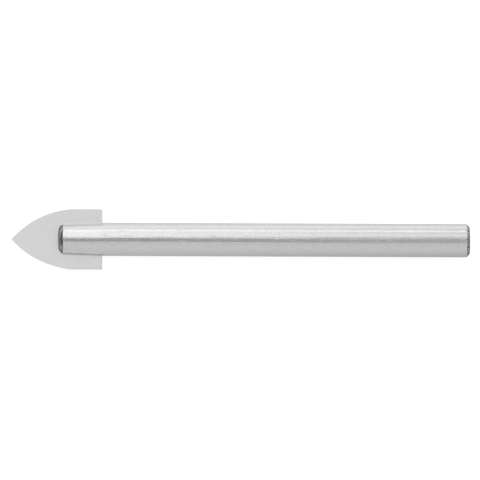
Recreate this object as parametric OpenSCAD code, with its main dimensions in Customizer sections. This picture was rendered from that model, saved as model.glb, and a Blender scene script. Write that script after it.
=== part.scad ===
// Spear-point drill bit for glass and tile.
// It lies as it comes to rest on a surface, on its shank and one rear corner of its tip.
// The axis runs along X, with the point at -X. The origin is on the surface, below the middle of the bit.

/* [Carbide tip] */
// Diameter of the hole that the bit cuts
cutting_d = 12; // [9:0.1:16]
// Length of the tip plate, from its point to its rear edge
tip_length = 17.9; // [15:0.1:24]
// Thickness of the tip plate
tip_t = 2.2; // [1.4:0.1:3.2]
// Length of the curved cutting edges, along the axis
point_length = 11.8; // [8:0.1:14]
// Angle at which the curved edges run into the straight sides
shoulder_angle = 4; // [1:0.5:8]
// Lean of the flanks behind the cutting edges
relief_angle = 6; // [2:0.5:18]

/* [Shank] */
// Diameter of the shank
shank_d = 6.6; // [5:0.1:8]
// Length of the shank, from its slotted front to its rear end
shank_length = 81.2; // [40:0.1:150]
// Size of the 45 degree chamfer at the front of the prongs
front_chamfer = 0.75; // [0.2:0.05:1]
// Size of the 45 degree chamfer at the rear end
rear_chamfer = 0.6; // [0.2:0.05:1]
// How far the plate reaches into the slot
seat_depth = 8.4; // [5:0.1:12]
// How far each prong is closed in on the plate, at its front end
prong_closing = 0.25; // [0.05:0.01:0.5]
// Stretch behind the plate over which the prongs start to close in
prong_root = 0.6; // [0.3:0.1:3]

/* [Brazing] */
// Thickness of the braze between the plate and the slot
braze_gap = 0.08; // [0.03:0.01:0.2]
// Size of the braze fillet round the prongs
braze_fillet = 0.3; // [0.1:0.05:0.6]
// Width of the flat on top of the fillet, along the front of a prong
fillet_land = 0.05; // [0.02:0.01:0.08]

/* [Hidden] */
$fn = 96;

// Overshoot of a cutting form past what it cuts
cut_over = 1;

// Places along the axis, from the point to the rear end
overall_length = tip_length - seat_depth + shank_length;
tip_x = -overall_length / 2;
tip_rear_x = tip_x + tip_length;
shank_front_x = tip_rear_x - seat_depth;
shank_rear_x = shank_front_x + shank_length;
slot_end_x = tip_rear_x + braze_gap;
wall_front_x = slot_end_x + prong_root;

// The plate's corners run on the cutting circle
tip_w = sqrt(pow(cutting_d, 2) - pow(tip_t, 2));
tip_half_w = tip_w / 2;

// Roll at which a corner of the plate is as far below the axis as the shank is
rest_roll = asin(shank_d / cutting_d) - atan2(tip_t, tip_w);

// Arc of a cutting edge in the section square to its flank: it starts at the point,
// and meets the straight side at the shoulder angle
arc_run = point_length * cos(relief_angle);
arc_r = (pow(arc_run, 2) + pow(tip_half_w, 2))
    / (2 * (tip_half_w * cos(shoulder_angle) - arc_run * sin(shoulder_angle)));
arc_x = arc_run + arc_r * sin(shoulder_angle);
arc_y = tip_half_w - arc_r * cos(shoulder_angle);

// Slot and prongs
shank_r = shank_d / 2;
prong_r = shank_r - prong_closing;
slot_w = tip_t + 2 * braze_gap;
// Half the width of a prong where it meets the braze: at its front edge, behind the chamfer and at its root
prong_tip_half_w = sqrt(pow(prong_r - front_chamfer, 2) - pow(slot_w / 2, 2));
prong_half_w = sqrt(pow(prong_r, 2) - pow(slot_w / 2, 2));
prong_root_half_w = sqrt(pow(shank_r, 2) - pow(slot_w / 2, 2));
// Turn of the braze from the front of a prong to its corners and to its sides
corner_turn = atan2(front_chamfer, prong_half_w - prong_tip_half_w);
side_turn = atan2(wall_front_x - shank_front_x - front_chamfer, prong_root_half_w - prong_half_w);

// Everything is drawn round the axis with the plate level, then rolled and lifted to lie on the surface
module at_rest() {
    translate([0, 0, shank_r])
        rotate([rest_roll, 0, 0])
            children();
}

// Rod with chamfered ends and closed-in front, before its slot is cut
module rod() {
    rotate([0, 90, 0])
        rotate_extrude()
            polygon([
                [0, shank_front_x],
                [prong_r - front_chamfer, shank_front_x],
                [prong_r, shank_front_x + front_chamfer],
                [shank_r, wall_front_x],
                [shank_r, shank_rear_x - rear_chamfer],
                [shank_r - rear_chamfer, shank_rear_x],
                [0, shank_rear_x]
            ]);
}

// Slot across the front of the rod
module slot() {
    translate([shank_front_x - cut_over, -shank_d, -slot_w / 2])
        cube([slot_end_x - shank_front_x + cut_over, 2 * shank_d, slot_w]);
}

// Rod with its slot, which leaves two prongs
module slotted_rod() {
    difference() {
        rod();
        slot();
    }
}

// All that lies inside one curved edge: a round flank that leans back from the cutting edge
module flank() {
    translate([tip_x, 0, 0])
        rotate([0, relief_angle, 0])
            linear_extrude(height = cutting_d, center = true) {
                translate([arc_x, arc_y])
                    circle(arc_r);
                translate([arc_x, -cutting_d])
                    square([tip_length, 2 * cutting_d]);
            }
}

// Flat blank between the two flanks, which lean opposite ways and meet in the chisel edge
module plate() {
    intersection() {
        translate([tip_x - cut_over, -tip_half_w, -tip_t / 2])
            cube([tip_length + cut_over, tip_w, tip_t]);
        flank();
        rotate([180, 0, 0])
            flank();
    }
}

// Region under a 45 degree slope, which starts one fillet outside a prong's edge
module fillet_slope(edge_x, edge_y, turn) {
    translate([edge_x, edge_y, 0])
        rotate([0, 0, turn])
            rotate([90, 0, 0])
                linear_extrude(height = 2 * cutting_d, center = true)
                    polygon([
                        [-braze_fillet, 0],
                        [2 * cutting_d, 2 * cutting_d + braze_fillet],
                        [2 * cutting_d, 0]
                    ]);
}

// Braze on one face of the plate, prong included: it slopes down round the prong's front, corners and sides
module fillet_pad() {
    translate([0, 0, tip_t / 2])
        intersection() {
            fillet_slope(shank_front_x, 0, 0);
            intersection_for (side = [-1, 1])
                fillet_slope(shank_front_x, side * prong_tip_half_w, -side * corner_turn);
            intersection_for (side = [-1, 1])
                fillet_slope(shank_front_x + front_chamfer, side * prong_half_w, -side * side_turn);
            translate([shank_front_x - cut_over, -cutting_d, 0])
                cube([seat_depth + cut_over, 2 * cutting_d, braze_fillet - fillet_land]);
        }
}

// Bright plated rod, slotted for the tip
module shank() {
    color("#d8d9db")
        at_rest()
            slotted_rod();
}

// Ground spear-point plate of sintered carbide
module carbide_tip() {
    color("#c9cacb")
        at_rest()
            plate();
}

// Braze in the slot and round the prongs
module braze() {
    color("#b9b8b5")
        at_rest()
            difference() {
                union() {
                    intersection() {
                        rod();
                        slot();
                    }
                    for (turn = [0, 180])
                        rotate([turn, 0, 0])
                            fillet_pad();
                }
                slotted_rod();
                plate();
            }
}

shank();
carbide_tip();
braze();
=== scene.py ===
"""Looks of a spear-point drill bit for glass and tile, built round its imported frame."""

import logging
import math
from dataclasses import dataclass, field
from enum import Enum, IntEnum
from typing import Any

import bmesh
import bpy
from mathutils import Matrix, Vector, noise


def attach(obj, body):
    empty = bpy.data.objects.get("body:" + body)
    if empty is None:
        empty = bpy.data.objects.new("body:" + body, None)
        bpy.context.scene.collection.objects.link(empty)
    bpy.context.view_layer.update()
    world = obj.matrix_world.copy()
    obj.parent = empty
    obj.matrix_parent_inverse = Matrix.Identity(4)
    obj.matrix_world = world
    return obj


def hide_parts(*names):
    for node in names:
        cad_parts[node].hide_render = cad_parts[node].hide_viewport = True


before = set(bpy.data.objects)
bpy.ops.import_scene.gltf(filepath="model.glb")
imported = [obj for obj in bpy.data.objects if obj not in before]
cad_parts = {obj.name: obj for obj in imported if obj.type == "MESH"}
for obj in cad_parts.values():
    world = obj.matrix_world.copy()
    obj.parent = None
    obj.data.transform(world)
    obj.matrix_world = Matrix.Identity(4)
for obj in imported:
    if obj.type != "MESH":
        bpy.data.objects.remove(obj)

LOG = logging.getLogger("drill_bit")
MM = 0.001
BODY = "root"
# Distances in millimetres within which points are welded, a cut snaps to a point, and an edge lies at a place
WELD = 1e-5
SNAP = 1e-6
NEAR = 1e-4
# Shares of its seed by which a noise is shifted along X, Y and Z
SEED_SHIFT = (1.0, 0.7, -1.0)
# How far the flux stain reaches behind the prongs' front, in front chamfers
STAIN_CHAMFERS = 1.3

Size = tuple[float, float, float]
Span = tuple[float, float]
Stops = tuple[tuple[float, float], ...]


def linear(hex_colour: str) -> tuple[float, float, float, float]:
    """Turn an sRGB hex colour into linear light.

    Args:
        hex_colour: Colour such as "#c0c0c0".

    Returns:
        Linear red, green, blue and an alpha of 1.
    """
    parts = [int(hex_colour[i:i + 2], 16) / 255 for i in (1, 3, 5)]
    light = [c / 12.92 if c <= 0.04045 else ((c + 0.055) / 1.055) ** 2.4 for c in parts]
    return (light[0], light[1], light[2], 1.0)


def per_mm(size_mm: float) -> float:
    """Give the texture scale at which one unit of a pattern measures size_mm."""
    return 1.0 / (size_mm * MM)


def add_node(tree: bpy.types.NodeTree, kind: str, settings: dict[str, Any] | None = None,
             inputs: dict[str | int, Any] | None = None) -> bpy.types.Node:
    """Add a node with its settings, and set or link its inputs.

    Args:
        tree: Node tree that gets the node.
        kind: Blender's name of the node type.
        settings: Attributes of the node.
        inputs: Values or output sockets for the node's inputs, by name or number.

    Returns:
        The new node.
    """
    node = tree.nodes.new(kind)
    for name, value in (settings or {}).items():
        setattr(node, name, value)
    for key, value in (inputs or {}).items():
        if isinstance(value, bpy.types.NodeSocket):
            tree.links.new(value, node.inputs[key])
        else:
            node.inputs[key].default_value = value
    return node


def set_ramp(ramp: bpy.types.ColorRamp, stops: list[tuple[float, float]]) -> None:
    """Give a colour ramp its grey stops.

    Args:
        ramp: Ramp with its two first stops.
        stops: Positions from 0 to 1 with their grey values, in order.
    """
    while len(ramp.elements) < len(stops):
        ramp.elements.new(1.0)
    for element, (position, grey) in zip(ramp.elements, stops):
        element.position = position
        element.color = (grey, grey, grey, 1.0)


# Sizes of the bit, in millimetres

@dataclass(frozen=True)
class BitSizes:
    """Sizes of the bit, with the places that follow from them. The axis is X and the plate lies level."""

    cutting_d: float = 12.0
    tip_length: float = 17.9
    tip_t: float = 2.2
    point_length: float = 11.8
    shoulder_angle: float = math.radians(4.0)
    relief_angle: float = math.radians(6.0)
    shank_d: float = 6.6
    shank_length: float = 81.2
    front_chamfer: float = 0.75
    rear_chamfer: float = 0.6
    seat_depth: float = 8.4
    prong_closing: float = 0.25
    prong_root: float = 0.6
    braze_gap: float = 0.08
    braze_fillet: float = 0.3

    @property
    def tip_x(self) -> float:
        """Place of the point."""
        return -(self.tip_length - self.seat_depth + self.shank_length) / 2

    @property
    def tip_rear_x(self) -> float:
        """Place of the plate's rear edge."""
        return self.tip_x + self.tip_length

    @property
    def front_x(self) -> float:
        """Place of the prongs' front."""
        return self.tip_rear_x - self.seat_depth

    @property
    def rear_x(self) -> float:
        """Place of the shank's rear end."""
        return self.front_x + self.shank_length

    @property
    def slot_end_x(self) -> float:
        """Place of the slot's floor."""
        return self.tip_rear_x + self.braze_gap

    @property
    def wall_front_x(self) -> float:
        """Place where the prongs start to close in."""
        return self.slot_end_x + self.prong_root

    @property
    def tip_half_w(self) -> float:
        """Half the plate's width; its corners run on the cutting circle."""
        return math.sqrt(self.cutting_d ** 2 - self.tip_t ** 2) / 2

    @property
    def shank_r(self) -> float:
        """Radius of the shank."""
        return self.shank_d / 2

    @property
    def prong_r(self) -> float:
        """Radius of the prongs at their front, behind the chamfer."""
        return self.shank_r - self.prong_closing

    @property
    def slot_half_w(self) -> float:
        """Half the width of the slot."""
        return self.tip_t / 2 + self.braze_gap

    @property
    def rest_roll(self) -> float:
        """Roll at which the bit lies on its shank and one corner of its plate."""
        return math.asin(self.shank_d / self.cutting_d) - math.atan2(self.tip_t / 2, self.tip_half_w)

    @property
    def at_rest(self) -> Matrix:
        """Transform from millimetres round the level axis to metres at rest on the floor."""
        lift = Matrix.Translation((0.0, 0.0, self.shank_r * MM))
        return lift @ Matrix.Rotation(self.rest_roll, 4, "X") @ Matrix.Scale(MM, 4)

    def prong_radius(self, x: float) -> float:
        """Give the prongs' radius at a place along the axis.

        Args:
            x: Place along the axis.

        Returns:
            Radius of the rod there, with the chamfer at its front.
        """
        chamfer_x = self.front_x + self.front_chamfer
        if x < chamfer_x:
            return self.prong_r - (chamfer_x - x)
        share = (x - chamfer_x) / (self.wall_front_x - chamfer_x)
        return self.prong_r + self.prong_closing * min(share, 1.0)

    def prong_half_w(self, x: float) -> float:
        """Give half the prongs' width along the slot's walls, at a place along the axis."""
        return math.sqrt(self.prong_radius(x) ** 2 - self.slot_half_w ** 2)


# Finishes

class Seed(IntEnum):
    """Shifts that keep one noise from repeating another."""

    HAZE = 0
    WAVE = 3
    PIT = 5
    GRIT = 9
    WHEEL = 13
    LINE = 17
    PATCH = 21
    PEEL = 29
    DULL = 41
    FLECK = 53


@dataclass(frozen=True)
class Finish:
    """A surface with its name, colour and gloss; each kind adds its own pattern.

    A span in a finish gives the two values of its noise between which one state of the surface turns into
    the other.
    """

    name: str
    colour: str
    roughness: float
    metallic: float = 1.0

    def material(self) -> bpy.types.Material:
        """Make the material.

        Returns:
            The material, with its pattern linked in.
        """
        material = bpy.data.materials.new(self.name)
        material.use_nodes = True
        tree = material.node_tree
        tree.nodes.clear()
        shader = add_node(tree, "ShaderNodeBsdfPrincipled", inputs={
            "Base Color": linear(self.colour), "Roughness": self.roughness, "Metallic": self.metallic})
        add_node(tree, "ShaderNodeOutputMaterial", inputs={"Surface": shader.outputs["BSDF"]})
        self.pattern(tree, shader)
        return material

    def pattern(self, tree: bpy.types.NodeTree, shader: bpy.types.Node) -> None:
        """Link the pattern of the surface to the shader.

        Args:
            tree: The material's node tree.
            shader: Its Principled shader.
        """
        raise NotImplementedError

    def grain(self, tree: bpy.types.NodeTree, size_mm: Size, seed: Seed, detail: float,
              roughness: float = 0.5) -> bpy.types.NodeSocket:
        """Add a noise whose patches measure size_mm along the bit, across it and upwards.

        Args:
            tree: The material's node tree.
            size_mm: Size of a patch along X, Y and Z.
            seed: Shift that makes one noise differ from another.
            detail: Number of finer layers.
            roughness: Share that each finer layer keeps.

        Returns:
            The noise's value, from 0 to 1.
        """
        place = add_node(tree, "ShaderNodeTexCoord")
        stretch = add_node(tree, "ShaderNodeMapping", inputs={
            "Vector": place.outputs["Object"],
            "Location": tuple(seed * share for share in SEED_SHIFT),
            "Scale": tuple(per_mm(size) for size in size_mm)})
        return add_node(tree, "ShaderNodeTexNoise", inputs={
            "Vector": stretch.outputs["Vector"], "Scale": 1.0, "Detail": detail,
            "Roughness": roughness}).outputs["Fac"]


@dataclass(frozen=True)
class PlatedSteel(Finish):
    """Bright plating on cold-drawn rod: it mirrors in long streaks, with a fine peel and faint flecks."""

    wave_mm: Size = (9.0, 0.8, 0.8)
    wave_depth_mm: float = 0.02
    # Peel, draw lines and flecks are finer on the real rod; they are drawn as coarse as they need to show
    peel_mm: Size = (0.3, 0.2, 0.2)
    peel_depth_mm: float = 0.009
    line_mm: Size = (30.0, 0.22, 0.22)
    line_depth_mm: float = 0.014
    fleck: str = "#e7e7e7"
    fleck_mm: float = 0.25
    fleck_span: Span = (0.3, 0.7)
    dull_mm: Size = (2.2, 0.3, 0.3)
    dull_span: Span = (0.46, 0.7)
    # Roughness of the bright and of the dull patches, as shares of the finish's own
    dull_shares: Span = (0.5, 5.0)

    def pattern(self, tree: bpy.types.NodeTree, shader: bpy.types.Node) -> None:
        """Bumps of waves, peel and draw lines, flecks in the colour and dull streaks in the gloss.

        Args:
            tree: The material's node tree.
            shader: Its Principled shader.
        """
        layers = ((self.wave_mm, self.wave_depth_mm, Seed.WAVE),
                  (self.peel_mm, self.peel_depth_mm, Seed.PEEL),
                  (self.line_mm, self.line_depth_mm, Seed.LINE))
        below: dict[str, bpy.types.NodeSocket] = {}
        for size, depth, seed in layers:
            bump = add_node(tree, "ShaderNodeBump", inputs={
                "Height": self.grain(tree, size, seed, detail=1.0), "Distance": depth * MM, "Strength": 1.0,
                **below})
            below = {"Normal": bump.outputs["Normal"]}
        flecks = add_node(tree, "ShaderNodeMapRange", inputs={
            "Value": self.grain(tree, (self.fleck_mm,) * 3, Seed.FLECK, detail=1.0),
            "From Min": self.fleck_span[0], "From Max": self.fleck_span[1]})
        colour = add_node(tree, "ShaderNodeMix", {"data_type": "RGBA"}, {
            "Factor": flecks.outputs["Result"], "A": linear(self.fleck), "B": linear(self.colour)})
        gloss = add_node(tree, "ShaderNodeMapRange", inputs={
            "Value": self.grain(tree, self.dull_mm, Seed.DULL, detail=3.0, roughness=0.65),
            "From Min": self.dull_span[0], "From Max": self.dull_span[1],
            "To Min": self.roughness * self.dull_shares[0], "To Max": self.roughness * self.dull_shares[1]})
        tree.links.new(colour.outputs["Result"], shader.inputs["Base Color"])
        tree.links.new(gloss.outputs["Result"], shader.inputs["Roughness"])
        tree.links.new(below["Normal"], shader.inputs["Normal"])


@dataclass(frozen=True)
class CroppedSteel(Finish):
    """Cropped, turned and sawn ends of the rod, thinly plated: pitted, with dark pits and bright specks."""

    # Pits and tool marks are finer on the real ends; they are drawn as coarse as they need to show
    pit_mm: float = 0.5
    pit_depth_mm: float = 0.12
    stain: str = "#868686"
    stain_span: Span = (0.4, 0.56)

    def pattern(self, tree: bpy.types.NodeTree, shader: bpy.types.Node) -> None:
        """Pits as bump, and stain in the low places.

        Args:
            tree: The material's node tree.
            shader: Its Principled shader.
        """
        pits = self.grain(tree, (self.pit_mm,) * 3, Seed.PIT, detail=3.0, roughness=0.6)
        clean = add_node(tree, "ShaderNodeMapRange", inputs={
            "Value": pits, "From Min": self.stain_span[0], "From Max": self.stain_span[1]})
        colour = add_node(tree, "ShaderNodeMix", {"data_type": "RGBA"}, {
            "Factor": clean.outputs["Result"], "A": linear(self.stain), "B": linear(self.colour)})
        bump = add_node(tree, "ShaderNodeBump", inputs={
            "Height": pits, "Distance": self.pit_depth_mm * MM, "Strength": 1.0})
        tree.links.new(colour.outputs["Result"], shader.inputs["Base Color"])
        tree.links.new(bump.outputs["Normal"], shader.inputs["Normal"])


@dataclass(frozen=True)
class SinteredCarbide(Finish):
    """Sintered tungsten carbide, blasted: an even matte light grey with a very fine grain."""

    # The real grain is under a hundredth of a millimetre; it is drawn coarser, so that it shows
    grain_mm: float = 0.35
    grain_depth_mm: float = 0.003
    speck: str = "#d6d6d6"
    speck_span: Span = (0.3, 0.62)

    def pattern(self, tree: bpy.types.NodeTree, shader: bpy.types.Node) -> None:
        """Fine grain in the colour and as bump.

        Args:
            tree: The material's node tree.
            shader: Its Principled shader.
        """
        grit = self.grain(tree, (self.grain_mm,) * 3, Seed.GRIT, detail=2.0)
        tone = add_node(tree, "ShaderNodeMapRange", inputs={
            "Value": grit, "From Min": self.speck_span[0], "From Max": self.speck_span[1]})
        colour = add_node(tree, "ShaderNodeMix", {"data_type": "RGBA"}, {
            "Factor": tone.outputs["Result"], "A": linear(self.speck), "B": linear(self.colour)})
        bump = add_node(tree, "ShaderNodeBump", inputs={
            "Height": grit, "Distance": self.grain_depth_mm * MM, "Strength": 1.0})
        tree.links.new(colour.outputs["Result"], shader.inputs["Base Color"])
        tree.links.new(bump.outputs["Normal"], shader.inputs["Normal"])


@dataclass(frozen=True)
class GroundCarbide(Finish):
    """Tungsten carbide ground with a diamond wheel: satin, with fine lines along the edge."""

    # Wheel marks are some hundredths of a millimetre wide; they are drawn coarser, so that they show
    line_mm: Size = (5.0, 5.0, 0.12)
    line_depth_mm: float = 0.004
    line_span: Span = (0.3, 0.7)
    # Roughness in and between the marks, as shares of the finish's own
    line_shares: Span = (0.8, 1.2)

    def pattern(self, tree: bpy.types.NodeTree, shader: bpy.types.Node) -> None:
        """Wheel marks as bump, and in the gloss.

        Args:
            tree: The material's node tree.
            shader: Its Principled shader.
        """
        lines = self.grain(tree, self.line_mm, Seed.WHEEL, detail=2.0)
        gloss = add_node(tree, "ShaderNodeMapRange", inputs={
            "Value": lines, "From Min": self.line_span[0], "From Max": self.line_span[1],
            "To Min": self.roughness * self.line_shares[0], "To Max": self.roughness * self.line_shares[1]})
        bump = add_node(tree, "ShaderNodeBump", inputs={
            "Height": lines, "Distance": self.line_depth_mm * MM, "Strength": 1.0})
        tree.links.new(gloss.outputs["Result"], shader.inputs["Roughness"])
        tree.links.new(bump.outputs["Normal"], shader.inputs["Normal"])


@dataclass(frozen=True)
class SilverBraze(Finish):
    """Silver braze: dull and dark where flux stained it, bright where it was wiped clean, lumpy all over."""

    # Place along the axis behind which the flux was wiped off, the stretch over which it thins out before
    # that place, and what wiping adds to the noise that parts stained patches from clean ones
    clean_x_mm: float = 0.0
    wipe_mm: float = 0.6
    wipe_share: float = 0.4
    patch_mm: float = 0.4
    patch_depth_mm: float = 0.02
    stain: str = "#767675"
    stain_roughness: float = 0.6
    stain_span: Span = (0.55, 0.75)

    def pattern(self, tree: bpy.types.NodeTree, shader: bpy.types.Node) -> None:
        """Stained patches at the front, and small lumps.

        Args:
            tree: The material's node tree.
            shader: Its Principled shader.
        """
        patch = self.grain(tree, (self.patch_mm,) * 3, Seed.PATCH, detail=3.0, roughness=0.6)
        place = add_node(tree, "ShaderNodeTexCoord")
        part = add_node(tree, "ShaderNodeSeparateXYZ", inputs={"Vector": place.outputs["Object"]})
        wiped = add_node(tree, "ShaderNodeMapRange", inputs={
            "Value": part.outputs["X"],
            "From Min": (self.clean_x_mm - self.wipe_mm) * MM, "From Max": self.clean_x_mm * MM,
            "To Min": 0.0, "To Max": self.wipe_share})
        clean = add_node(tree, "ShaderNodeMath", {"operation": "ADD"}, {
            0: patch, 1: wiped.outputs["Result"]})
        share = add_node(tree, "ShaderNodeMapRange", inputs={
            "Value": clean.outputs["Value"], "From Min": self.stain_span[0], "From Max": self.stain_span[1]})
        colour = add_node(tree, "ShaderNodeMix", {"data_type": "RGBA"}, {
            "Factor": share.outputs["Result"], "A": linear(self.stain), "B": linear(self.colour)})
        gloss = add_node(tree, "ShaderNodeMapRange", inputs={
            "Value": share.outputs["Result"], "To Min": self.stain_roughness, "To Max": self.roughness})
        bump = add_node(tree, "ShaderNodeBump", inputs={
            "Height": patch, "Distance": self.patch_depth_mm * MM, "Strength": 1.0})
        tree.links.new(colour.outputs["Result"], shader.inputs["Base Color"])
        tree.links.new(gloss.outputs["Result"], shader.inputs["Roughness"])
        tree.links.new(bump.outputs["Normal"], shader.inputs["Normal"])


@dataclass(frozen=True)
class LitAcrylic(Finish):
    """White acrylic of a light table: matte, and lit from below, so that shadows on it are faint."""

    light: str = "#ffffff"
    glow: float = 0.86
    haze_mm: float = 2.0
    # Least roughness in the haze, as a share of the finish's own
    haze_share: float = 0.95

    def pattern(self, tree: bpy.types.NodeTree, shader: bpy.types.Node) -> None:
        """Light from below, and a faint change of gloss.

        Args:
            tree: The material's node tree.
            shader: Its Principled shader.
        """
        shader.inputs["Emission Color"].default_value = linear(self.light)
        shader.inputs["Emission Strength"].default_value = self.glow
        gloss = add_node(tree, "ShaderNodeMapRange", inputs={
            "Value": self.grain(tree, (self.haze_mm,) * 3, Seed.HAZE, detail=2.0),
            "To Min": self.roughness * self.haze_share, "To Max": self.roughness})
        tree.links.new(gloss.outputs["Result"], shader.inputs["Roughness"])


# Pieces

class Slot(Enum):
    """Material slots of the record."""

    STEEL = "plated_steel"
    CARBIDE = "tungsten_carbide"
    BRAZE = "braze_metal"


@dataclass
class Piece:
    """A piece of the bit: it builds its mesh round the level axis, lays it down and dresses it."""

    sizes: BitSizes
    node: str = ""
    slot: Slot = Slot.STEEL
    finishes: list[Finish] = field(default_factory=list)
    sharp_angle: float = math.radians(28.0)

    def build(self, bm: bmesh.types.BMesh) -> None:
        """Model the piece.

        Args:
            bm: Empty mesh that gets the piece, in millimetres.
        """
        raise NotImplementedError

    def dress(self, mesh: bpy.types.Mesh) -> None:
        """Give the mesh its finishes, in the order of its material numbers."""
        for finish in self.finishes:
            mesh.materials.append(finish.material())

    def make(self) -> bpy.types.Object:
        """Build, lay down and dress the piece, link it into the scene under the bit's body, and hide the
        imported part it stands for.

        Returns:
            The piece's object.
        """
        bm = bmesh.new()
        self.build(bm)
        bmesh.ops.remove_doubles(bm, verts=bm.verts[:], dist=WELD)
        bmesh.ops.recalc_face_normals(bm, faces=bm.faces[:])
        bm.transform(self.sizes.at_rest)
        for face in bm.faces:
            face.smooth = True
        mesh = bpy.data.meshes.new(f"{self.node}_looks")
        bm.to_mesh(mesh)
        bm.free()
        mesh.set_sharp_from_angle(angle=self.sharp_angle)
        self.dress(mesh)
        piece = bpy.data.objects.new(f"{self.node}_looks", mesh)
        bpy.context.scene.collection.objects.link(piece)
        # Broad faces keep their own normals beside a narrow rounded edge
        piece.modifiers.new("broad_face_normals", "WEIGHTED_NORMAL").keep_sharp = True
        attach(piece, BODY)
        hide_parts(self.node)
        LOG.info("%s: %d faces", piece.name, len(mesh.polygons))
        return piece


class Axis(IntEnum):
    """Axes along which an edge's place is compared."""

    X = 0
    Z = 2


class ShankSurface(IntEnum):
    """Material numbers of the shank: its wall, its rear chamfer, its front and its rear face."""

    WALL = 0
    REAR = 1
    FRONT = 2
    END = 3


@dataclass
class Shank(Piece):
    """Plated rod with chamfered ends, slotted for the plate."""

    node: str = "shank"
    around: int = 160
    edge_round: float = 0.02
    round_segments: int = 4
    # Least share of the axis in the normal of a face that belongs to the flat rear end
    end_normal: float = 0.95

    def build(self, bm: bmesh.types.BMesh) -> None:
        """Spin the rod, round its edges, cut the slot and number the surfaces.

        Args:
            bm: Empty mesh that gets the piece.
        """
        self.spin_rod(bm)
        self.round_edges(bm)
        self.cut_slot(bm)
        for face in bm.faces:
            place = face.calc_center_median().x
            if place < self.sizes.front_x + self.sizes.front_chamfer:
                face.material_index = ShankSurface.FRONT
            elif place > self.sizes.rear_x - self.sizes.rear_chamfer:
                at_end = face.normal.x > self.end_normal
                face.material_index = ShankSurface.END if at_end else ShankSurface.REAR

    def spin_rod(self, bm: bmesh.types.BMesh) -> None:
        """Spin the rod's half profile round the axis.

        Args:
            bm: Mesh that gets the rod.
        """
        s = self.sizes
        profile = ((s.front_x, 0.0), (s.front_x, s.prong_r - s.front_chamfer),
                   (s.front_x + s.front_chamfer, s.prong_r), (s.wall_front_x, s.shank_r),
                   (s.rear_x - s.rear_chamfer, s.shank_r), (s.rear_x, s.shank_r - s.rear_chamfer),
                   (s.rear_x, 0.0))
        verts = [bm.verts.new((x, 0.0, r)) for x, r in profile]
        edges = [bm.edges.new(pair) for pair in zip(verts, verts[1:])]
        bmesh.ops.spin(bm, geom=verts + edges, cent=(0.0, 0.0, 0.0), axis=(1.0, 0.0, 0.0),
                       angle=2 * math.pi, steps=self.around, use_merge=True)
        bmesh.ops.remove_doubles(bm, verts=bm.verts[:], dist=WELD)
        bmesh.ops.recalc_face_normals(bm, faces=bm.faces[:])

    def round_edges(self, bm: bmesh.types.BMesh) -> None:
        """Round the four circles that bound the chamfers.

        Args:
            bm: The rod.
        """
        s = self.sizes
        places = (s.front_x, s.front_x + s.front_chamfer, s.rear_x - s.rear_chamfer, s.rear_x)
        circles = [e for e in bm.edges
                   if any(all(abs(v.co.x - x) < NEAR for v in e.verts) for x in places)
                   and abs(e.verts[0].co.yz.length - e.verts[1].co.yz.length) < NEAR]
        bmesh.ops.bevel(bm, geom=circles, offset=self.edge_round, offset_type="OFFSET",
                        segments=self.round_segments, profile=0.5, affect="EDGES", material=-1)

    def cut_slot(self, bm: bmesh.types.BMesh) -> None:
        """Cut the slot across the front and close its two walls and its floor.

        Args:
            bm: The rod.
        """
        end = self.sizes.slot_end_x
        half = self.sizes.slot_half_w
        bmesh.ops.bisect_plane(bm, geom=bm.verts[:] + bm.edges[:] + bm.faces[:], dist=SNAP,
                               plane_co=(end, 0.0, 0.0), plane_no=(1.0, 0.0, 0.0))
        for level in (-half, half):
            front = [f for f in bm.faces if f.calc_center_median().x < end]
            verts = list(dict.fromkeys(v for f in front for v in f.verts))
            edges = list(dict.fromkeys(e for f in front for e in f.edges))
            bmesh.ops.bisect_plane(bm, geom=verts + edges + front, dist=SNAP,
                                   plane_co=(0.0, 0.0, level), plane_no=(0.0, 0.0, 1.0))
        inside = [f for f in bm.faces if f.calc_center_median().x < end
                  and abs(f.calc_center_median().z) < half]
        bmesh.ops.delete(bm, geom=inside, context="FACES")
        floor_edges = []
        for level in (-half, half):
            rim = self.open_edges(bm, Axis.Z, level)
            corners = [v for e in rim for v in e.verts if abs(v.co.x - end) < NEAR]
            closing = bm.edges.new(corners[:2])
            floor_edges.append(closing)
            bmesh.ops.edgenet_fill(bm, edges=rim + [closing])
        floor_rim = self.open_edges(bm, Axis.X, end) + floor_edges
        bmesh.ops.edgenet_fill(bm, edges=list(dict.fromkeys(floor_rim)))

    @staticmethod
    def open_edges(bm: bmesh.types.BMesh, axis: Axis, place: float) -> list[bmesh.types.BMEdge]:
        """Find the open edges that lie at one place along an axis.

        Args:
            bm: The rod with its slot cut open.
            axis: The axis.
            place: Place along it.

        Returns:
            The edges, in the mesh's order.
        """
        return [e for e in bm.edges
                if e.is_boundary and all(abs(v.co[axis] - place) < NEAR for v in e.verts)]


class TipSurface(IntEnum):
    """Material numbers of the plate: its flat faces, and its ground flanks and edges."""

    FACE = 0
    FLANK = 1


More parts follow.
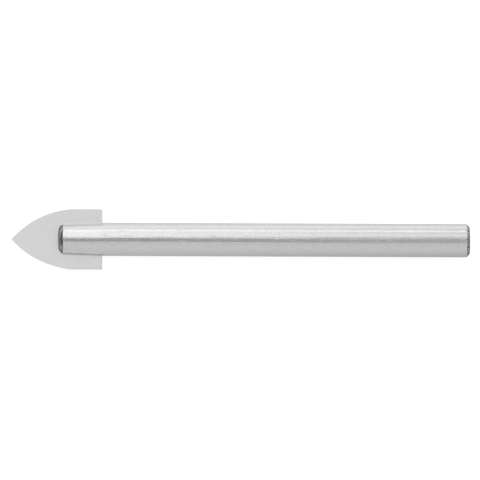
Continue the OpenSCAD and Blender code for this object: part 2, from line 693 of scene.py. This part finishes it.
@dataclass
class CarbideTip(Piece):
    """Spear-point plate: a flat blank, ground along two arcs that lean opposite ways."""

    node: str = "carbide_tip"
    slot: Slot = Slot.CARBIDE
    cuts: int = 44
    # The arc runs on past the point, where the leaning flanks cross in the chisel edge
    run_on: float = math.radians(4.0)
    # Edges sharper than this angle are broken
    break_angle: float = math.radians(20.0)
    edge_break: float = 0.03
    break_segments: int = 2
    # Least upward share in the normal of a flat face
    flat_normal: float = 0.99

    def build(self, bm: bmesh.types.BMesh) -> None:
        """Start from the blank, grind both flanks, break the edges and number the surfaces.

        Args:
            bm: Empty mesh that gets the piece.
        """
        s = self.sizes
        blank = (Matrix.Translation((s.tip_x + s.tip_length / 2, 0.0, 0.0))
                 @ Matrix.Diagonal((s.tip_length, 2 * s.tip_half_w, s.tip_t, 1.0)))
        bmesh.ops.create_cube(bm, size=1.0, matrix=blank)
        for turn in (Matrix.Identity(3), Matrix.Rotation(math.pi, 3, "X")):
            self.grind_flank(bm, turn)
        edges = [e for e in bm.edges if e.calc_face_angle(0.0) > self.break_angle]
        bmesh.ops.bevel(bm, geom=edges, offset=self.edge_break, offset_type="OFFSET",
                        segments=self.break_segments, profile=0.5, affect="EDGES", material=-1,
                        clamp_overlap=True)
        bm.normal_update()
        for face in bm.faces:
            flat = abs(face.normal.z) > self.flat_normal
            face.material_index = TipSurface.FACE if flat else TipSurface.FLANK

    def grind_flank(self, bm: bmesh.types.BMesh, turn: Matrix) -> None:
        """Cut the blank along one arc, one narrow flat after the other.

        Args:
            bm: The blank.
            turn: Turn that takes the first flank to this one.
        """
        s = self.sizes
        run = s.point_length * math.cos(s.relief_angle)
        half = s.tip_half_w
        radius = (run ** 2 + half ** 2) / (
            2 * (half * math.cos(s.shoulder_angle) - run * math.sin(s.shoulder_angle)))
        centre = Vector((run + radius * math.sin(s.shoulder_angle),
                         half - radius * math.cos(s.shoulder_angle), 0.0))
        lean = Matrix.Rotation(s.relief_angle, 3, "Y")
        last = math.pi / 2 + s.shoulder_angle
        first = math.atan2(-centre.y, -centre.x) % (2 * math.pi) + self.run_on
        for cut in range(self.cuts + 1):
            angle = first + (last - first) * cut / self.cuts
            outward = Vector((math.cos(angle), math.sin(angle), 0.0))
            place = turn @ (Vector((s.tip_x, 0.0, 0.0)) + lean @ (centre + outward * radius))
            result = bmesh.ops.bisect_plane(
                bm, geom=bm.verts[:] + bm.edges[:] + bm.faces[:], dist=SNAP,
                plane_co=place, plane_no=turn @ lean @ outward, clear_outer=True)
            rim = [e for e in result["geom_cut"] if isinstance(e, bmesh.types.BMEdge)]
            if rim:
                bmesh.ops.edgenet_fill(bm, edges=rim)
        bmesh.ops.recalc_face_normals(bm, faces=bm.faces[:])


@dataclass(frozen=True)
class BeadPoint:
    """A point of the bead's section, from a prong's edge on the plate.

    It lies outwards by a share of the bead's width, less a share of its height where the bead leans in on the
    prong, less a tuck into the prong in millimetres, and upwards by a share of the bead's height.
    """

    width: float
    lean: float
    height: float
    tuck: float = 0.0


@dataclass
class BrazeJoint(Piece):
    """Braze: a film between the plate and the slot, and a lumpy bead round both prongs."""

    node: str = "braze"
    slot: Slot = Slot.BRAZE
    # How far the film stays inside the prongs' edges
    film_inset: float = 0.02
    step: float = 0.1
    # Length of the slanted edge at a prong's corner, in front chamfers, and its least number of steps
    corner_slant: float = 1.4
    corner_least: int = 2
    # The braze wets the plate, so the bead is wider than it is tall along the prongs' sides
    side_rise: float = 0.18
    front_rise: float = 0.6
    front_width: float = 0.75
    # Lumps in the width, coarse and fine, how much finer the fine ones are, and the least width left
    lump_mm: float = 0.9
    coarse_lumps: float = 0.75
    fine_lumps: float = 0.35
    finer: float = 2.7
    least_width: float = 0.35
    # Lumps in the height, about a mean, with their own scale and shift
    mean_height: float = 0.95
    height_lumps: float = 0.5
    height_scale: float = 1.3
    height_shift: Size = (7.0, 0.0, 0.0)
    # From under the prong out to the toe on the plate, then up to the crown on the prong
    section: tuple[BeadPoint, ...] = (
        BeadPoint(width=0.0, lean=0.0, height=0.0, tuck=0.02),
        BeadPoint(width=1.0, lean=0.0, height=0.0),
        BeadPoint(width=0.72, lean=0.0, height=0.38),
        BeadPoint(width=0.30, lean=0.28, height=0.80),
        BeadPoint(width=0.0, lean=0.42, height=1.0, tuck=0.03))

    def build(self, bm: bmesh.types.BMesh) -> None:
        """Lay the film and both beads.

        Args:
            bm: Empty mesh that gets the piece.
        """
        self.lay_film(bm)
        for turn in (Matrix.Identity(4), Matrix.Rotation(math.pi, 4, "X")):
            self.lay_bead(bm, turn)

    def lay_film(self, bm: bmesh.types.BMesh) -> None:
        """Lay the film on both faces of the plate and behind its rear edge.

        Args:
            bm: Mesh that gets the film.
        """
        s = self.sizes
        length = s.seat_depth + s.braze_gap
        width = 2 * (s.prong_half_w(s.front_x) - self.film_inset)
        for side in (-1, 1):
            level = side * (s.tip_t / 2 + s.braze_gap / 2)
            bmesh.ops.create_cube(bm, size=1.0, matrix=(
                Matrix.Translation((s.front_x + length / 2, 0.0, level))
                @ Matrix.Diagonal((length, width, s.braze_gap, 1.0))))
        bmesh.ops.create_cube(bm, size=1.0, matrix=(
            Matrix.Translation((s.tip_rear_x + s.braze_gap / 2, 0.0, 0.0))
            @ Matrix.Diagonal((s.braze_gap, 2 * s.prong_half_w(s.tip_rear_x), s.tip_t, 1.0))))

    def footprint(self) -> list[tuple[Vector, Vector]]:
        """Walk round a prong's edge on the plate, from its rear on one side to its rear on the other.

        Returns:
            Points of the edge with the directions that lead away from the prong.
        """
        s = self.sizes
        side_steps = round((s.seat_depth - s.front_chamfer) / self.step)
        side = [s.tip_rear_x + (s.front_x + s.front_chamfer - s.tip_rear_x) * i / side_steps
                for i in range(side_steps + 1)]
        corner_steps = max(self.corner_least, round(self.corner_slant * s.front_chamfer / self.step))
        corner = [s.front_x + s.front_chamfer * (1 - i / corner_steps) for i in range(1, corner_steps + 1)]
        half_front = s.prong_half_w(s.front_x)
        front_steps = round(half_front / self.step)
        rim = [Vector((x, s.prong_half_w(x))) for x in side + corner]
        rim += [Vector((s.front_x, half_front * (1 - i / front_steps))) for i in range(1, front_steps + 1)]
        rim += [Vector((p.x, -p.y)) for p in reversed(rim[:-1])]
        walk = []
        for i, point in enumerate(rim):
            along = (rim[min(i + 1, len(rim) - 1)] - rim[max(i - 1, 0)]).normalized()
            walk.append((point, Vector((along.y, -along.x))))
        return walk

    def bead_size(self, key: Vector, frontal: float) -> tuple[float, float]:
        """Work out the bead's width and height at one place.

        Args:
            key: The place, in lumps, which sets how the bead swells there.
            frontal: How far the bead faces the front there, from 0 along a prong's sides to 1.

        Returns:
            Width and height.
        """
        fillet = self.sizes.braze_fillet
        rise = self.side_rise + (self.front_rise - self.side_rise) * frontal
        lumps = self.coarse_lumps * noise.noise(key) + self.fine_lumps * noise.noise(key * self.finer)
        spread = 1.0 + (self.front_width - 1.0) * frontal
        wide = fillet * spread * max(self.least_width, 1.0 + rise * lumps)
        bulge = noise.noise(key * self.height_scale + Vector(self.height_shift))
        tall = fillet * rise * (self.mean_height + rise * self.height_lumps * bulge)
        return wide, tall

    def lay_bead(self, bm: bmesh.types.BMesh, turn: Matrix) -> None:
        """Sweep the bead's uneven section along a prong's edge.

        Args:
            bm: Mesh that gets the bead.
            turn: Turn that takes the upper prong to this one.
        """
        up = Vector((0.0, 0.0, 1.0))
        rows: list[list[Vector]] = [[] for _ in self.section]
        for point, away in self.footprint():
            base = Vector((point.x, point.y, self.sizes.tip_t / 2))
            out = Vector((away.x, away.y, 0.0))
            wide, tall = self.bead_size((turn @ base) / self.lump_mm, abs(away.x))
            for row, mark in zip(rows, self.section):
                reach = mark.width * wide - mark.lean * tall - mark.tuck
                row.append(turn @ (base + out * reach + up * (mark.height * tall)))
        verts = [bm.verts.new(place) for place in rows[0]]
        first_edges = edges = [bm.edges.new(pair) for pair in zip(verts, verts[1:])]
        for row in rows[1:]:
            grown = bmesh.ops.extrude_edge_only(bm, edges=edges)["geom"]
            verts = [v for v in grown if isinstance(v, bmesh.types.BMVert)]
            fresh = set(verts)
            edges = [e for e in grown if isinstance(e, bmesh.types.BMEdge) and fresh.issuperset(e.verts)]
            for vert, place in zip(verts, row):
                vert.co = place
        bmesh.ops.bridge_loops(bm, edges=first_edges + edges)
        bmesh.ops.holes_fill(bm, edges=[e for e in bm.edges if e.is_boundary], sides=0)


# Studio

@dataclass(frozen=True)
class LightRing:
    """Light round the bit's axis: levels by the angle, in degrees, from the horizon in front (0) over the
    top (90) to the horizon behind (180)."""

    below: Stops
    front: Stops
    camera_gap: Stops
    softbox: Stops
    strip: Stops
    behind: Stops

    def ramp_stops(self) -> list[tuple[float, float]]:
        """Give all the levels in order, by their share of a full turn."""
        stops = self.below + self.front + self.camera_gap + self.softbox + self.strip + self.behind
        return [((degrees + 180) / 360, level) for degrees, level in stops]


@dataclass(frozen=True)
class Studio:
    """A light table, soft light round the bit and a long lens that looks down on the plate."""

    sizes: BitSizes
    table: Finish
    floor_mm: float = 3000.0
    floor_cuts: int = 8
    backdrop: str = "#f4f4f4"
    # The plate is seen a little from the side on which it touches the floor
    off_face: float = math.radians(3.0)
    camera_roll: float = math.radians(-0.22)
    distance_mm: float = 950.0
    view_mm: float = 95.1
    sensor_mm: float = 36.0
    centre_mm: tuple[float, float] = (-0.125, -0.03)
    world_strength: float = 1.15

    # Light that the metal mirrors at the point and at the rear, where the soft box and the strip are weaker
    at_point: LightRing = LightRing(
        below=((-180, 0.69), (-150, 0.61), (-86, 0.44), (-16, 0.53)),
        front=((4, 0.55), (45, 0.53)),
        camera_gap=((51, 0.32), (67, 0.29)),
        softbox=((72, 0.50), (80, 0.79), (90, 0.90), (124, 0.90)),
        strip=((129, 1.0), (134, 1.0)),
        behind=((138, 0.79), (150, 0.76), (165, 0.80), (179, 0.71)))
    at_rear: LightRing = LightRing(
        below=((-180, 0.72), (-150, 0.58), (-86, 0.37), (-16, 0.51)),
        front=((4, 0.54), (44, 0.50)),
        camera_gap=((50, 0.38), (79, 0.38)),
        softbox=((84, 0.54), (95, 0.67), (107, 0.68), (117, 0.54), (124, 0.66)),
        strip=((130, 0.90), (135, 0.90)),
        behind=((139, 0.63), (150, 0.63), (168, 0.81), (179, 0.74)))
    # Shares of the axis in a direction at which the metal sees the light at the point and at the rear
    ends_seen: Span = (-0.028, 0.045)
    # How much of that light is left, near the table, towards the point (-1) and towards the rear (1)
    light_along: Stops = ((-1.0, 0.12), (-0.92, 0.13), (-0.6, 1.0), (0.6, 1.0), (0.92, 0.64), (1.0, 0.60))
    # Height of the direction, as its sine, over which the dark ends give way to the light above them
    ends_fade: Span = (0.06, 0.24)
    # A wide lamp overhead, which the matte plate needs and the metal doesn't mirror
    lamp_watts: float = 3.3
    lamp_side_mm: float = 900.0
    lamp_height_mm: float = 1000.0

    def build(self) -> None:
        """Set up the floor, the light and the camera."""
        self.lay_floor()
        self.light_world()
        self.hang_lamp()
        self.place_camera()
        bpy.context.scene.view_settings.view_transform = "Standard"

    def lay_floor(self) -> None:
        """Lay the table's sheet; the metal mirrors the grey below the horizon in its place."""
        bm = bmesh.new()
        bmesh.ops.create_grid(bm, x_segments=self.floor_cuts, y_segments=self.floor_cuts,
                              size=self.floor_mm / 2 * MM)
        mesh = bpy.data.meshes.new("table_floor")
        bm.to_mesh(mesh)
        bm.free()
        mesh.materials.append(self.table.material())
        floor = bpy.data.objects.new("table_floor", mesh)
        bpy.context.scene.collection.objects.link(floor)
        floor.visible_glossy = False

    def light_world(self) -> None:
        """Light the bit from all round, by the angle round its axis, with darker ends near the table."""
        world = bpy.data.worlds.new("studio")
        bpy.context.scene.world = world
        world.use_nodes = True
        tree = world.node_tree
        tree.nodes.clear()
        toward = add_node(tree, "ShaderNodeTexCoord")
        part = add_node(tree, "ShaderNodeSeparateXYZ", inputs={"Vector": toward.outputs["Generated"]})
        front = add_node(tree, "ShaderNodeMath", {"operation": "MULTIPLY"}, {0: part.outputs["Y"], 1: -1.0})
        angle = add_node(tree, "ShaderNodeMath", {"operation": "ARCTAN2"}, {
            0: part.outputs["Z"], 1: front.outputs["Value"]})
        turn = add_node(tree, "ShaderNodeMapRange", inputs={
            "Value": angle.outputs["Value"], "From Min": -math.pi, "From Max": math.pi})
        rings = []
        for light_ring in (self.at_point, self.at_rear):
            ring = add_node(tree, "ShaderNodeValToRGB", inputs={"Fac": turn.outputs["Result"]})
            set_ramp(ring.color_ramp, light_ring.ramp_stops())
            rings.append(ring.outputs["Color"])
        end = add_node(tree, "ShaderNodeMapRange", inputs={
            "Value": part.outputs["X"], "From Min": self.ends_seen[0], "From Max": self.ends_seen[1]})
        ring = add_node(tree, "ShaderNodeMix", {"data_type": "FLOAT"}, {
            "Factor": end.outputs["Result"], "A": rings[0], "B": rings[1]})
        signed = add_node(tree, "ShaderNodeMapRange", inputs={
            "Value": part.outputs["X"], "From Min": -1.0, "From Max": 1.0})
        hold = add_node(tree, "ShaderNodeValToRGB", inputs={"Fac": signed.outputs["Result"]})
        set_ramp(hold.color_ramp, [((x + 1) / 2, grey) for x, grey in self.light_along])
        low = add_node(tree, "ShaderNodeMapRange", inputs={
            "Value": part.outputs["Z"], "From Min": self.ends_fade[0], "From Max": self.ends_fade[1],
            "To Min": 1.0, "To Max": 0.0})
        held = add_node(tree, "ShaderNodeMix", {"data_type": "FLOAT"}, {
            "Factor": low.outputs["Result"], "A": 1.0, "B": hold.outputs["Color"]})
        shaded = add_node(tree, "ShaderNodeMath", {"operation": "MULTIPLY"}, {
            0: ring.outputs["Result"], 1: held.outputs["Result"]})
        studio = add_node(tree, "ShaderNodeBackground", inputs={
            "Color": shaded.outputs["Value"], "Strength": self.world_strength})
        backdrop = add_node(tree, "ShaderNodeBackground", inputs={"Color": linear(self.backdrop)})
        path = add_node(tree, "ShaderNodeLightPath")
        mix = add_node(tree, "ShaderNodeMixShader", inputs={
            0: path.outputs["Is Camera Ray"], 1: studio.outputs["Background"],
            2: backdrop.outputs["Background"]})
        add_node(tree, "ShaderNodeOutputWorld", inputs={"Surface": mix.outputs["Shader"]})

    def hang_lamp(self) -> None:
        """Hang the wide lamp over the bit, out of sight of mirroring surfaces."""
        data = bpy.data.lights.new("overhead_lamp", "AREA")
        data.energy = self.lamp_watts
        data.size = self.lamp_side_mm * MM
        lamp = bpy.data.objects.new("overhead_lamp", data)
        lamp.location = (0.0, 0.0, self.lamp_height_mm * MM)
        lamp.visible_glossy = False
        bpy.context.scene.collection.objects.link(lamp)

    def place_camera(self) -> None:
        """Look down on the plate through a long lens, with the photo's framing."""
        data = bpy.data.cameras.new("camera")
        data.sensor_width = self.sensor_mm
        data.lens = self.sensor_mm * self.distance_mm / self.view_mm
        camera = bpy.data.objects.new("camera", data)
        turn = Matrix.Rotation(self.sizes.rest_roll + self.off_face, 4, "X")
        axes = turn.to_3x3()
        target = (Vector((0.0, 0.0, self.sizes.shank_r)) + axes @ Vector((*self.centre_mm, 0.0))) * MM
        place = target + axes @ Vector((0.0, 0.0, self.distance_mm * MM))
        camera.matrix_world = Matrix.Translation(place) @ turn @ Matrix.Rotation(-self.camera_roll, 4, "Z")
        bpy.context.scene.collection.objects.link(camera)
        bpy.context.scene.camera = camera


def main() -> None:
    """Build the bit and its studio."""
    logging.basicConfig(level=logging.INFO, format="%(name)s %(message)s")
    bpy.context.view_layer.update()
    sizes = BitSizes()
    # Drawn and then plated: the rod mirrors the studio in bright streaks
    plating = PlatedSteel("bright plated drawn steel", "#f3f3f3", 0.09)
    # Cropped and chamfered: a rough dark rim with bright specks
    cropped = CroppedSteel("cropped steel end", "#d8d8d8", 0.42, stain="#5c5c5c", pit_mm=0.3)
    # Turned: smoother, so that the prongs' front mirrors the dark end of the studio
    turned = CroppedSteel("turned steel front", "#c4c4c4", 0.2, pit_depth_mm=0.03)
    # Sawn: an even dull grey
    sawn = CroppedSteel("sawn steel end", "#d0d0d0", 0.36, pit_depth_mm=0.02, stain="#a4a4a4")
    # Pressed, sintered and blasted: the grain scatters light, so the plate is matte and no mirror
    blasted = SinteredCarbide("sintered tungsten carbide", "#dcdcdc", 0.68, metallic=0.0)
    # Ground: satin flanks and edges
    ground = GroundCarbide("ground tungsten carbide", "#dadada", 0.38)
    # Brazed with flux: dark round the prongs' front, bright along their sides
    silver = SilverBraze("silver braze, flux stained", "#e2e2e1", 0.24,
                         clean_x_mm=sizes.front_x + STAIN_CHAMFERS * sizes.front_chamfer)
    # Cast and lit from below: an even white
    acrylic = LitAcrylic("white acrylic of a light table", "#8c8c8c", 0.9, metallic=0.0)
    pieces: list[Piece] = [
        Shank(sizes, finishes=[plating, cropped, turned, sawn]),
        CarbideTip(sizes, finishes=[blasted, ground]),
        BrazeJoint(sizes, finishes=[silver]),
    ]
    for piece in pieces:
        piece.make()
    Studio(sizes, acrylic).build()


if __name__ == "__main__":
    main()
